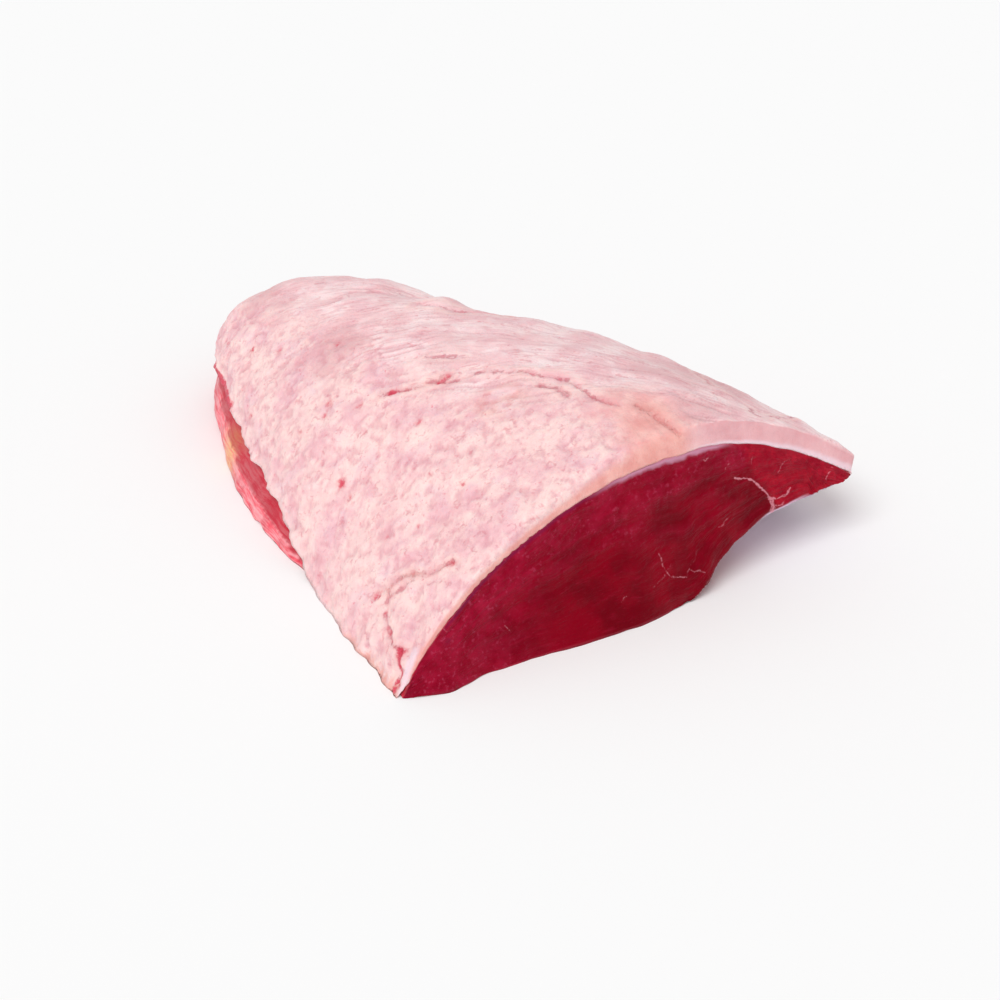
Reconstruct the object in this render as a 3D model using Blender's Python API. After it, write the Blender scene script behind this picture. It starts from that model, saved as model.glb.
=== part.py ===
"""A raw beef roasting joint: the rump cap, a lean muscle under its fat cap.

The joint lies fat side up. +X runs across the cut end, +Y from the cut end to the rounded far end and +Z up.
Each solid starts as a box cut into cells. A cell corner's place in the box is its shares 0 to 1 across the
joint, along it and up the solid, and functions of those shares give its real place.
"""

import bmesh
import bpy
import numpy as np
from mathutils import Matrix, Vector, noise

# Driving dimensions of the whole joint, in metres
LENGTH = 0.246
CROWN_HEIGHT = 0.0620
FAT_THICKNESS = 0.0083
GAP = 0.0003
LEAST_WALL = 0.0010

# Plan outline: distance from the cut end, then where the left and right edges of the fat cap lie
LEFT_EDGE = ((0.0, 0.000), (0.035, 0.001), (0.081, 0.006), (0.115, 0.010), (0.161, 0.018), (0.246, 0.034))
RIGHT_EDGE = ((0.0, 0.196), (0.040, 0.200), (0.090, 0.191), (0.136, 0.172), (0.193, 0.142), (0.246, 0.116))
END_ROUNDING_START = 0.198
END_WIDTH_SHARE = 0.45
END_SQUARENESS = 2.8

# Height of the crown as a share of CROWN_HEIGHT, and its place as a share of the width
CROWN_SHARE = ((0.0, 1.00), (0.050, 1.03), (0.120, 0.99), (0.180, 0.88), (0.246, 0.76))
CROWN_PLACE = ((0.0, 0.64), (0.120, 0.50), (0.246, 0.45))

# Height of the fat cap's lower edge over the board on each side
LEFT_HEIGHT = ((0.0, 0.000), (0.070, 0.000), (0.115, 0.012), (0.161, 0.016), (0.200, 0.020), (0.246, 0.022))
RIGHT_HEIGHT = ((0.0, 0.034), (0.045, 0.026), (0.120, 0.020), (0.246, 0.022))

# How full the shoulder on each side is: 1 is a plain sine arch, and less is squarer
LEFT_FULLNESS = ((0.0, 0.77), (0.060, 0.70), (0.140, 0.60), (0.246, 0.52))
RIGHT_FULLNESS = ((0.0, 0.90), (0.050, 0.80), (0.090, 0.68), (0.170, 0.80), (0.246, 0.60))

# How far the lean starts inside the fat cap's lower edge, and how far below it
LEFT_INSET = 0.0045
RIGHT_INSET = 0.0020
END_INSET = 0.0040
LEFT_DROP = ((0.0, -0.0045), (0.070, -0.0015), (0.115, 0.0010), (0.246, 0.0020))
RIGHT_DROP = ((0.0, 0.0065), (0.060, 0.0040), (0.246, 0.0020))

# The lean's foot on the board, outward from where its top edge lies, and how its sides belly out
LEFT_FOOT = ((0.0, 0.003), (0.075, 0.003), (0.115, 0.009), (0.150, 0.012), (0.200, 0.008), (0.246, 0.004))
RIGHT_FOOT = ((0.0, -0.004), (0.060, -0.010), (0.246, -0.006))
BELLY_SHARE = 0.22

# How far the underside lifts off the board toward the cut end's right tip, by place across, and its reach
LIFT = ((0.0, 0.0), (0.118, 0.0), (0.132, 0.011), (0.157, 0.0225), (0.194, 0.0262))
LIFT_REACH = 0.045

# A lobe of silverskin sags from the lifted underside: its middle in plan, how far it sags and its radius
LOBE_MIDDLE = (0.188, 0.027)
LOBE_SAG = 0.010
LOBE_RADIUS = 0.012

# The cut leans back, and its foot flares forward where the meat sags on the board
CUT_LEAN = 0.27
CUT_FADE = 3.0
FLARE = (
    (0.0, 0.0010),
    (0.006, 0.0045),
    (0.017, 0.0070),
    (0.036, 0.0030),
    (0.062, 0.0028),
    (0.085, 0.0044),
    (0.108, 0.0018),
    (0.130, 0.0),
)
FLARE_HEIGHT = 0.010

# Relief: swells over the fat and the cut, a slight bend of the whole, and folds, each given by its two ends
# in plan, its depth and its width
SWELL = 0.0009
SWELL_LENGTH = 0.022
FOLDS = (
    ((0.104, 0.190), (0.128, 0.150), 0.0030, 0.009),
    ((0.010, 0.052), (0.040, 0.030), 0.0015, 0.004),
)
CUT_SWELL = 0.0008
CUT_SWELL_LENGTH = 0.018
BEND = 0.0015
BEND_LENGTH = 0.050

# Cells across, along and up each solid
ACROSS = 32
ALONG = 40
FAT_LEVELS = 2
LEAN_LEVELS = 6

FAT_COLOUR = (0.84, 0.52, 0.50, 1.0)
LEAN_COLOUR = (0.27, 0.006, 0.018, 1.0)


def curve(points, at):
    """A smooth curve through points, which are pairs of distance and value, that doesn't overshoot them."""
    places, values = np.array(points).T
    slopes = np.diff(values) / np.diff(places)
    tangents = np.zeros(len(values))
    same_way = slopes[1:] * slopes[:-1] > 0
    tangents[1:-1][same_way] = 2 / (1 / slopes[1:][same_way] + 1 / slopes[:-1][same_way])
    tangents[0], tangents[-1] = slopes[0], slopes[-1]
    span = np.clip(np.searchsorted(places, at, side="right") - 1, 0, len(slopes) - 1)
    width = places[span + 1] - places[span]
    t = (at - places[span]) / width
    start = (2 * t**3 - 3 * t**2 + 1) * values[span] + (t**3 - 2 * t**2 + t) * width * tangents[span]
    end = (3 * t**2 - 2 * t**3) * values[span + 1] + (t**3 - t**2) * width * tangents[span + 1]
    return start + end


def ease(value, start, end):
    """0 before start, 1 after end, and a smooth step between."""
    t = np.clip((value - start) / (end - start), 0, 1)
    return 3 * t**2 - 2 * t**3


def closure(y):
    """1 along most of the joint, falling to 0 at the far end along a quarter of a squarish ellipse."""
    t = np.clip((y - END_ROUNDING_START) / (LENGTH - END_ROUNDING_START), 0, 1)
    return (1 - t**END_SQUARENESS) ** (1 / END_SQUARENESS)


def side_edges(y):
    """Where the left and right edges of the fat cap lie at distance y from the cut end."""
    left, right = curve(LEFT_EDGE, y), curve(RIGHT_EDGE, y)
    middle = (left + right) / 2
    narrowing = END_WIDTH_SHARE + (1 - END_WIDTH_SHARE) * closure(y)
    return middle + (left - middle) * narrowing, middle + (right - middle) * narrowing


def arch(across, y, left_height, right_height, crown):
    """Height of a skewed arch at a share 0 to 1 of the width, from one foot over the crown to the other."""
    place = curve(CROWN_PLACE, y)
    rising = np.sin(np.pi / 2 * np.clip(across / place, 0, 1)) ** curve(LEFT_FULLNESS, y)
    falling = np.cos(np.pi / 2 * np.clip((across - place) / (1 - place), 0, 1)) ** curve(RIGHT_FULLNESS, y)
    left_side = left_height + (crown - left_height) * rising
    right_side = right_height + (crown - right_height) * falling
    return np.where(across < place, left_side, right_side)


def fat_top(across, y):
    """The fat cap's upper face."""
    left, right = side_edges(y)
    left_height, right_height = curve(LEFT_HEIGHT, y), curve(RIGHT_HEIGHT, y)
    foot = (left_height + right_height) / 2
    crown = foot + (CROWN_HEIGHT * curve(CROWN_SHARE, y) - foot) * closure(y)
    z = arch(across, y, left_height, right_height, crown)
    return np.stack([left + (right - left) * across, y, z], axis=1)


def seam(across, y, gap):
    """The face between fat and lean, lowered and drawn in by gap."""
    left, right = side_edges(y)
    left_height = curve(LEFT_HEIGHT, y) - curve(LEFT_DROP, y)
    right_height = curve(RIGHT_HEIGHT, y) - curve(RIGHT_DROP, y)
    foot = (left_height + right_height) / 2
    crown = foot + (CROWN_HEIGHT * curve(CROWN_SHARE, y) - FAT_THICKNESS - foot) * closure(y)
    z = arch(across, y, left_height, right_height, crown) - gap
    left, right = left + LEFT_INSET + gap, right - RIGHT_INSET - gap
    return np.stack([left + (right - left) * across, y * (1 - (END_INSET + gap) / LENGTH), z], axis=1)


def underside(across, y, top):
    """The lean's underside: flat on the board, and lifted near the cut end's right tip but for a lobe."""
    left, right = side_edges(y)
    left = left + LEFT_INSET + GAP - curve(LEFT_FOOT, y)
    right = right - RIGHT_INSET - GAP + curve(RIGHT_FOOT, y)
    x = left + (right - left) * across
    lobe_distance = np.hypot(x - LOBE_MIDDLE[0], y - LOBE_MIDDLE[1])
    lobe = LOBE_SAG * np.exp(-((lobe_distance / LOBE_RADIUS) ** 2))
    z = curve(LIFT, x) * np.exp(-((y / LIFT_REACH) ** 2)) - lobe
    z = np.maximum(np.minimum(z, top[:, 2] - LEAST_WALL), 0)
    return np.stack([x, top[:, 1], z], axis=1)


def swells(points, length, seed):
    """Smooth noise from about -1 to 1 at each point, with swells of about that length."""
    return np.array([noise.noise(Vector(point / length) + Vector((0, 0, seed))) for point in points])


def fold_depth(points):
    """How deep the folds sink the fat at each point."""
    depth = np.zeros(len(points))
    for start, end, deepest, width in FOLDS:
        start, run = np.array(start), np.subtract(end, start)
        share = np.clip((points[:, :2] - start) @ run / (run @ run), 0, 1)
        aside = np.linalg.norm(points[:, :2] - start - share[:, None] * run, axis=1)
        depth += deepest * np.exp(-((aside / width) ** 2))
    return depth


def lean_back(points):
    """Leans the cut end back and flares its foot, both fading out along the joint, and bends all of it."""
    x, y, z = points.T
    fade = np.clip(1 - y / LENGTH, 0, 1) ** CUT_FADE
    flare = curve(FLARE, np.clip(x, 0, FLARE[-1][0])) * np.exp(-z / FLARE_HEIGHT)
    bend_x = BEND * swells(points, BEND_LENGTH, 3)
    bend_y = BEND * swells(points, BEND_LENGTH, 8) + CUT_SWELL * fade * swells(points, CUT_SWELL_LENGTH, 5)
    return np.stack([x + bend_x, y + fade * (CUT_LEAN * z - flare) + bend_y, z], axis=1)


def box_of_cells(levels):
    """A unit box with its faces cut into the cells that each solid is shaped from."""
    mesh = bmesh.new()
    bmesh.ops.create_cube(mesh, size=1, matrix=Matrix.Translation((0.5, 0.5, 0.5)))
    for axis, cells in enumerate((ACROSS, ALONG, levels)):
        edges = [edge for edge in mesh.edges if abs(edge.verts[1].co[axis] - edge.verts[0].co[axis]) > 0.5]
        bmesh.ops.subdivide_edges(mesh, edges=edges, cuts=cells - 1, use_grid_fill=True)
    return mesh


def places(shares, place):
    """The real places of box corners. The cells are closer together near the sides and the far end."""
    across = 0.45 * shares[:, 0] + 0.55 * (1 - np.cos(np.pi * shares[:, 0])) / 2
    y = LENGTH * (0.62 * shares[:, 1] + 0.38 * np.sin(np.pi / 2 * shares[:, 1]))
    return lean_back(place(across, y, shares[:, 2:]))


def shape(name, levels, place):
    mesh = box_of_cells(levels)
    shares = np.array([vertex.co for vertex in mesh.verts], dtype=float)
    for vertex, point in zip(mesh.verts, places(shares, place)):
        vertex.co = point
    data = bpy.data.meshes.new(name)
    mesh.to_mesh(data)
    mesh.free()
    return bpy.data.objects.new(name, data)


def place_fat(across, y, up):
    bottom, top = seam(across, y, 0), fat_top(across, y)
    inside = ease(top[:, 2] - bottom[:, 2], 0.004, 0.009)
    top[:, 2] += inside * (SWELL * swells(top, SWELL_LENGTH, 1) - fold_depth(top))
    return bottom + (top - bottom) * up


def place_lean(across, y, up):
    """Between underside and seam, with the sides and the far end bellied out."""
    top = seam(across, y, GAP)
    bottom = underside(across, y, top)
    middle = np.mean(side_edges(y), axis=0)
    outward = np.stack([bottom[:, 0] - middle, np.maximum(y - END_ROUNDING_START, 0), 0 * y], axis=1)
    outward /= np.maximum(np.linalg.norm(outward, axis=1, keepdims=True), 1e-6)
    belly = BELLY_SHARE * (top - bottom)[:, 2:] * np.sin(np.pi * up)
    clear_of_fat = np.where(across < 0.5, ease(curve(LEFT_HEIGHT, y), 0, 0.010), 1)
    off_the_cut = (across == 0) | (across == 1) | (y > 0)
    return bottom + (top - bottom) * up + outward * belly * (clear_of_fat * off_the_cut)[:, None]


def material(name, colour, roughness):
    made = bpy.data.materials.new(name)
    made.use_nodes = True
    shader = made.node_tree.nodes["Principled BSDF"]
    shader.inputs["Base Color"].default_value = colour
    shader.inputs["Roughness"].default_value = roughness
    return made


def centre_on_floor(objects):
    """Moves the meshes so that the middle of the joint's box lies over the origin, on the board."""
    corners = np.array([vertex.co for obj in objects for vertex in obj.data.vertices])
    low, high = corners.min(axis=0), corners.max(axis=0)
    shift = Vector((-(low[0] + high[0]) / 2, -(low[1] + high[1]) / 2, -low[2]))
    for obj in objects:
        for vertex in obj.data.vertices:
            vertex.co += shift


def main():
    for obj in list(bpy.data.objects):
        bpy.data.objects.remove(obj)
    joint = bpy.data.collections.new("beef_joint")
    bpy.context.scene.collection.children.link(joint)

    fat = shape("fat_cap", FAT_LEVELS, place_fat)
    lean = shape("lean_muscle", LEAN_LEVELS, place_lean)
    fat.data.materials.append(material("fat", FAT_COLOUR, 0.45))
    lean.data.materials.append(material("lean", LEAN_COLOUR, 0.35))
    for obj in (fat, lean):
        joint.objects.link(obj)
        obj.data.shade_smooth()
    centre_on_floor([fat, lean])


main()
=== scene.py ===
"""The looks of a raw beef roasting joint: a lumpy pink fat cap over dark, wet lean.

Each CAD node is copied, cut into fine cells and given its relief. The masks that go with the
relief are stored on the mesh, and the materials colour it by them. Places of features are in
millimetres in the row frame.
"""

import math

import bmesh
import bpy
import numpy as np
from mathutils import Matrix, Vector, noise
from mathutils.kdtree import KDTree


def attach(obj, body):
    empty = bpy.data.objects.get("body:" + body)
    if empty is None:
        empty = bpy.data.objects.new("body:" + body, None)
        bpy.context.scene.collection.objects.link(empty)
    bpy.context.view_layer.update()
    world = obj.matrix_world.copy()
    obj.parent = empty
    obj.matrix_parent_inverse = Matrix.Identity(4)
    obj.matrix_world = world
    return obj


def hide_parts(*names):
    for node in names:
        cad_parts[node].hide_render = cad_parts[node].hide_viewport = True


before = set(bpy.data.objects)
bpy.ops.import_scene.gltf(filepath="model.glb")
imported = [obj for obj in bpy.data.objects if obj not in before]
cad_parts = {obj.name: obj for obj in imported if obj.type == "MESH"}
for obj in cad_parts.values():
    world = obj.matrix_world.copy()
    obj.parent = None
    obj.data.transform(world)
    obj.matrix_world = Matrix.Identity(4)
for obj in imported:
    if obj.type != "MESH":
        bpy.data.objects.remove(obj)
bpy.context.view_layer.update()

MM = 0.001
SEED_SHIFT = 13.7

# How the CAD mesh is welded, joined to quads and rounded
WELD_DISTANCE = 1e-6
QUAD_ANGLE = math.radians(60)
SHARP_ANGLE = math.radians(35)
SHARPNESS = 0.6
HIDDEN_SLOPE = 0.3

# Where faces are cut finely and where points count as the cut's: slopes are the z of normals, and
# the cut face looks toward -y
FAT_SHOWN_SLOPE = -0.3
LEAN_SHOWN_SLOPE = 0.6
LEAN_FOOT_TOP = 3
CUT_FACING = -0.6
CUT_TURN = 0.35
CUT_FACES_END = -85
CUT_POINTS_END = -80
MARBLING_REACH = 2.5

# How points are smoothed: the share of the way each time, and how many times
SMOOTH_SHARE = 0.5
LIGHT_PASSES = 4
STRONG_PASSES = 16
SEAM_PASSES = 8

# The columns in which the cut's outline is measured, and the lower edge where a column is empty
COLUMN_WIDTH = 4
COLUMNS_END = 100
EMPTY_COLUMN = 60

# The camera at the photograph's viewing angle
CAMERA_PLACE = (-0.3634, -0.6599, 0.4221)
CAMERA_TILT = 60.007
CAMERA_TURN = -29.351
CAMERA_LENS = 78.9

# The floor, the key light and the sky
FLOOR_SIZE = 60
FLOOR_COLOUR = (0.92, 0.92, 0.92, 1)
FLOOR_ROUGHNESS = 0.9
FLOOR_SPECULAR = 0.1
KEY_PLACE = (-0.6, -0.45, 1.0)
KEY_SOFTNESS = math.radians(35)
KEY_POWER = 1.7
SKY_POWER = 0.62
SKY_COLOUR = (1, 1, 1, 1)

# How much both materials mirror, the colour that the lean mirrors in, and how far red, green and
# blue light pass under each of them
FLESH_SPECULAR = 0.35
LEAN_SPECULAR_TINT = (1.0, 0.06, 0.18, 1.0)
FAT_SPREAD = (1.0, 0.42, 0.34)
LEAN_SPREAD = (1.0, 0.12, 0.12)

# The ridge that parts the fat's lumpy left slope from its wrinkled, mauve right slope: y, then x
RIDGE = (
    (-110, 28), (-104, 25), (-89, 18), (-70, 9), (-55, -11), (-37, -30), (-4, -37), (29, -42), (67, -46),
)

# The furrows of the right slope run at this angle across the joint and bend toward the tip
FLOW_TURN = np.radians(-29)
FLOW_BEND = 0.0045
FLOW_BEND_START = -20

# How wide the smooth tan strip of fat by the cut's seam is, by place across
TAN_WIDTH = ((-95, 1.2), (-60, 1.6), (-30, 2.4), (-8, 4.5), (8, 9), (20, 12), (30, 11))

# How wide the pale lining of the knife's face is, by place across
LINING_WIDTH = ((24, 0.7), (60, 1.3), (90, 2.2))

# What the mask of distances to the creases holds away from them all
NO_CREASE = 9.0

# Creases in the fat: points, width, depth, how red and how strong the orange painted shade beside them is
FAT_CREASES = (
    (((-67, -99, 32), (-73, -96, 28), (-77, -90, 25)), 1.0, 1.0, 0.12, 0.35),
    (((-77, -90, 25), (-80, -86, 22), (-85, -85, 18)), 1.0, 1.0, 0.12, 0.35),
    (((-78, -92, 24), (-83, -89, 19), (-87, -87, 16)), 0.9, 0.8, 0.3, 0.0),
    (((-47, -11, 51), (-40, -16, 54), (-31, -20, 57), (-25, -20, 58)), 1.0, 0.9, 0.40, 0.2),
    (((-32, -19, 56), (-28, -22, 58), (-24, -25, 59)), 0.9, 0.7, 0.35, 0.0),
    (((-26, -5, 59), (-22, -8, 60), (-16, -14, 61)), 0.9, 0.4, 0.1, 0.0),
    (((-19, -24, 60), (-14, -30, 61), (-10, -34, 62), (-3, -42, 63)), 1.1, 0.8, 0.12, 0.1),
    (((-3, -42, 63), (2, -47, 63), (5, -52, 63), (6, -59, 63)), 1.5, 1.3, 0.26, 0.0),
    (((6, -59, 63), (6, -67, 63), (7, -73, 63), (11, -79, 63)), 1.5, 1.3, 0.26, 0.0),
    (((-4, -51, 63), (-1, -57, 63), (0, -64, 63)), 1.0, 0.6, 0.15, 0.2),
    (((17, -82, 63), (19, -90, 63), (20, -96, 62), (21, -104, 60)), 1.0, 0.8, 0.25, 0.0),
    (((61, -90, 54), (58, -98, 56), (66, -97, 52), (86, -88, 39)), 0.9, 0.5, 0.2, 0.0),
    (((-89, -91, 13), (-91, -98, 11), (-92, -104, 10), (-92, -110, 10)), 1.0, 0.8, 0.5, 0.1),
    (((-92, -109, 10), (-96, -116, 6), (-99, -117, 1)), 1.3, 1.0, 1.0, 0.0),
    (((-6, 40, 58), (0, 34, 58), (3, 28, 58), (9, 26, 57), (18, 19, 56)), 1.8, 1.6, 0.10, 0.0),
    (((66, -44, 49), (62, -56, 52), (60, -68, 54), (60, -78, 55)), 1.0, 0.7, 0.1, 0.2),
)

# Red pits in the fat: place, radius and how red
FAT_PITS = (
    (-45, -12, 52, 1.4, 1.0), (-62, 7, 43, 2.1, 0.5), (-56, -7, 47, 2.2, 0.4), (-78, 44, 25, 1.5, 0.6),
    (-75, -29, 30, 2.2, 1.0), (-75, -37, 28, 1.8, 0.5), (-74, 7, 34, 1.2, 0.4), (-26, -21, 58, 1.2, 0.5),
    (-45, -34, 50, 2.2, 0.4), (-67, -99, 31, 1.4, 0.8), (-88, -82, 15, 2.0, 0.6), (-75, -66, 27, 1.9, 0.3),
    (-67, -74, 33, 1.1, 0.7), (-49, -74, 45, 1.1, 0.6), (-64, -57, 36, 1.6, 0.25), (-66, 3, 41, 1.8, 0.5),
    (-92, -110, 10, 2.0, 1.0), (-98, -118, 3, 1.6, 0.8), (-64, 75, 37, 2.2, 0.25), (-89, -91, 13, 1.3, 0.9),
    (-44, 36, 52, 1.6, 0.4), (-37, 20, 56, 1.3, 0.4), (-58, 60, 42, 1.4, 0.3), (-60, -20, 43, 1.4, 0.4),
)

# Broad patches of painted shade on the fat's undulations and far slope: place, radius and strength
FAT_SHADE_PATCHES = (
    (-44, 34, 52, 15, 0.8), (-46, 102, 44, 12, 0.9), (-50, 84, 44, 10, 0.4), (-20, -10, 60, 10, 0.6),
    (10, 30, 57, 12, 0.5), (40, -60, 60, 12, 0.8), (64, -60, 52, 24, 1.0), (34, -92, 60, 11, 0.9),
)

# Swells of the fat, most of them along the far contour: place, radius and height
FAT_SWELLS = (
    (-54, 110, 37, 9, 2.0), (0, 78, 48, 12, 1.8), (10, 71, 45, 9, 1.4), (6, 41, 54, 9, 3.0),
    (26, 8, 56, 11, 1.9), (43, -6, 53, 12, 2.4), (57, -34, 51, 9, 1.8), (80, -96, 44, 8, 1.6),
    (88, -107, 39, 7, 1.4), (4, 84, 46, 10, 0.8),
)

# The belly of the cut beside the raised tip, and its foot: place, radius and height
LEAN_SWELLS = ((26, -117, 7, 6, 1.2), (18, -120.5, 0.5, 3, -1.2))

# The middle of a patch of crumbly ripples on the ridge
RIPPLES = (-19, -48, 59)

# The membrane that shows between fat and lean at the near corner
CORNER_MEMBRANE = ((-90, -115, 12), (-94, -118, 8), (-98, -121, 2))

# How far the pattern of the cut's fibres is drawn out from its lower to its upper edge
FIBRE_RISE = 45

# White lines of marbling on the cut, as x and z: points, width and strength
MARBLING = (
    (((42.5, 39), (46, 38.3), (48, 37), (51, 35.5), (53.5, 32)), 0.55, 0.85),
    (((53.5, 32), (55.3, 30), (56.5, 27.5), (57, 24.5)), 0.55, 0.85),
    (((56.5, 27.8), (59, 26.9), (61.5, 27.5), (63.5, 27.4), (66, 29.5)), 0.55, 0.8),
    (((57.2, 26), (57.2, 24.4), (56.5, 23.4)), 1.3, 1.0),
    (((58.5, 25.2), (60.5, 24.4), (62, 24.8)), 0.5, 0.6),
    (((65, 40), (63.2, 39.6), (62, 38.6), (61, 37)), 0.45, 0.5),
    (((84, 31), (82.8, 30.2), (82, 28.7)), 0.45, 0.6),
    (((7.5, 20.5), (8.8, 18.5), (8.6, 16), (9.4, 13.7), (11.4, 11.5)), 0.5, 0.58),
    (((11.4, 11.5), (12.7, 11), (15, 10.6), (17.8, 9.8)), 0.5, 0.58),
    (((17.8, 9.8), (18.4, 11.4), (19.4, 12.3), (21, 10.6), (22.4, 10.6), (25, 9.4)), 0.5, 0.52),
    (((9, 12.6), (7.4, 11.6), (6, 11.2), (4.6, 10.2), (3.2, 10.2)), 0.5, 0.45),
    (((9.4, 13.7), (11, 14.6), (12, 16)), 0.45, 0.4),
    (((19.4, 12.3), (20.6, 14), (22.5, 15.4), (23.4, 18)), 0.45, 0.35),
    (((-8.6, 9.9), (-9.8, 9.9), (-10.8, 9.2)), 0.5, 0.5),
    (((30, 48.5), (32, 49.3)), 0.5, 0.6),
    (((38.5, 43), (39.2, 44.4), (40.5, 45)), 0.45, 0.5),
    (((50, 42.5), (50.5, 45)), 0.45, 0.5),
    (((33, 24), (35.2, 24.4), (37.5, 25.7)), 0.45, 0.5),
    (((25.5, 24.5), (28.5, 25.5)), 0.4, 0.4),
    (((-56, 12.5), (-55.6, 11.4), (-54.5, 10.5)), 0.5, 0.5),
    (((-80, 19), (-79.2, 18.4), (-78.5, 17)), 0.45, 0.5),
    (((-42, 26.2), (-40.5, 27.2)), 0.4, 0.4),
)


def colour(red, green, blue):
    """A display colour, 0 to 255, as the linear colour that a shader takes."""
    shares = [value / 255 for value in (red, green, blue)]
    return (*(s / 12.92 if s < 0.04045 else ((s + 0.055) / 1.055) ** 2.4 for s in shares), 1.0)


# Colours of the fat
FAT_ROSY = colour(239, 190, 196)
FAT_PALE = colour(249, 214, 211)
FAT_COOL = colour(232, 200, 214)
FAT_CREAM = colour(251, 222, 216)
FAT_MOTTLE = colour(233, 175, 182)
FAT_GRAIN = colour(222, 156, 168)
FAT_SPECK = colour(255, 234, 226)
MAUVE_DARK = colour(243, 198, 202)
MAUVE_LIGHT = colour(255, 230, 231)
MAUVE_THREAD = colour(214, 152, 162)
# Painted shade in the hollows of the relief
FAT_HOLLOW_SHADE = colour(212, 136, 150)
# Painted shade in broad patches
PATCH_SHADE_COLOUR = colour(216, 158, 162)
# Painted shade in and beside creases
CREASE_SHADE = colour(214, 128, 142)
# Painted shade along the middle of creases
SLIT_SHADE = colour(198, 100, 116)
# Painted highlight on the banks of creases
CREASE_LIP_HIGHLIGHT = colour(255, 226, 216)
FAT_SPOT = colour(222, 112, 132)
FAT_LINE = colour(212, 112, 128)
TAN_DARK = colour(226, 144, 134)
TAN_LIGHT = colour(241, 174, 164)
SLICED_DARK = colour(222, 160, 166)
SLICED_LIGHT = colour(236, 184, 188)
FAT_LINING = colour(242, 216, 226)
FAT_RIM = colour(252, 216, 214)
# Orange painted shade beside creases
FAT_AMBER_SHADE = colour(222, 146, 116)
FAT_BLOOD = colour(212, 48, 78)

# Colours of the lean
LEAN_DEEP = colour(106, 0, 12)
LEAN_WARM = colour(130, 0, 20)
# Painted sheen on the cut
PAINTED_SHEEN_DARK = colour(140, 4, 34)
PAINTED_SHEEN_LIGHT = colour(164, 22, 54)
STRAND_LIGHT = colour(176, 30, 60)
STRAND_DARK = colour(88, 0, 10)
FIBRE_LIGHT = colour(190, 54, 82)
# Painted glints
PAINTED_GLINT = colour(200, 84, 116)
TIP_DARK = colour(150, 8, 32)
TIP_LIGHT = colour(186, 22, 44)
TIP_GRAIN = colour(130, 0, 24)
FLESH_RED = colour(248, 94, 110)
FLESH_PALE = colour(255, 168, 174)
FLESH_RAW = colour(192, 28, 56)
FLESH_STREAK = colour(246, 176, 182)
YELLOW_SPOT = colour(246, 190, 130)
# Painted shade under the fat's rim
LEAN_RIM_SHADE = colour(176, 4, 36)
LEAN_UNDERSIDE = colour(190, 70, 88)
TISSUE_DARK = colour(112, 24, 66)
TISSUE_SILVER = colour(212, 164, 190)
TISSUE_SKIN = colour(222, 198, 220)
MARBLING_WHITE = colour(228, 150, 164)


def ease(value, start, end):
    """0 at start, 1 at end and a smooth step between, for either order of the two."""
    t = np.clip((value - start) / (end - start), 0, 1)
    return 3 * t**2 - 2 * t**3


def swell(points, size, seed, octaves=1):
    """Smooth noise from about -1 to 1 at points in mm. size is one size for all axes or one for each."""
    shifted = (points / np.array(size) + SEED_SHIFT * seed).tolist()
    if octaves == 1:
        return np.array([noise.noise(point) for point in shifted])
    return np.array([noise.fractal(point, 1.0, 2.0, octaves) for point in shifted])


def cells(points, size, seed):
    """Distances from each point to the nearest and second nearest of scattered middles, size mm apart."""
    shifted = (points / size + SEED_SHIFT * seed).tolist()
    return np.array([noise.voronoi(point)[0][:2] for point in shifted]).T


def line_distance(points, line):
    """Distance from each point to a polyline."""
    nearest = np.full(len(points), np.inf)
    for start, end in zip(line[:-1], line[1:]):
        start, run = np.array(start, float), np.subtract(end, start)
        share = np.clip((points - start) @ run / (run @ run), 0, 1)
        nearest = np.minimum(nearest, np.linalg.norm(points - start - share[:, None] * run, axis=1))
    return nearest


def distance_to(points, chosen):
    """Distance from each point to the nearest of the chosen points."""
    places = points[chosen]
    tree = KDTree(len(places))
    for number, place in enumerate(places.tolist()):
        tree.insert(place, number)
    tree.balance()
    return np.array([tree.find(point)[2] for point in points.tolist()])


def swollen(points, swells):
    """The height of the listed swells at each point."""
    height = np.zeros(len(points))
    for *place, radius, rise in swells:
        height += rise * np.exp(-((np.linalg.norm(points - place, axis=1) / radius) ** 2))
    return height


def wobbled(points, size, reach, seed):
    """The points, each moved by up to about reach mm, so that what is drawn by them isn't straight."""
    moves = np.stack([swell(points, size, seed + axis) for axis in range(points.shape[1])], axis=1)
    return points + reach * moves


def read(collection, name):
    """One vector for each vertex, as an array."""
    values = np.empty(len(collection) * 3, np.float32)
    collection.foreach_get(name, values)
    return values.reshape(-1, 3).astype(float)


def rounded_quads(node, hidden_side):
    """The node's CAD mesh welded, joined to quads and rounded once, but for its creased sharp edges.

    hidden_side is 1 where the seam is the node's upper side and -1 where it is its lower side. The
    seam's edges stay sharp.
    """
    mesh = bmesh.new()
    mesh.from_mesh(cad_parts[node].data)
    bmesh.ops.remove_doubles(mesh, verts=mesh.verts, dist=WELD_DISTANCE)
    bmesh.ops.join_triangles(
        mesh, faces=mesh.faces, angle_face_threshold=QUAD_ANGLE, angle_shape_threshold=QUAD_ANGLE
    )
    crease = mesh.edges.layers.float.new("crease_edge")
    for edge in mesh.edges:
        slopes = [hidden_side * face.normal.z for face in edge.link_faces]
        sharpness = 1 if max(slopes) > HIDDEN_SLOPE else SHARPNESS
        edge[crease] = sharpness if edge.calc_face_angle(0) > SHARP_ANGLE else 0
    data = bpy.data.meshes.new(node)
    mesh.to_mesh(data)
    mesh.free()
    source = bpy.data.objects.new(node, data)
    bpy.context.scene.collection.objects.link(source)
    source.modifiers.new("rounding", "SUBSURF").levels = 1
    seen = source.evaluated_get(bpy.context.evaluated_depsgraph_get())
    rounded = bpy.data.meshes.new_from_object(seen)
    bpy.data.objects.remove(source)
    return rounded


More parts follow.
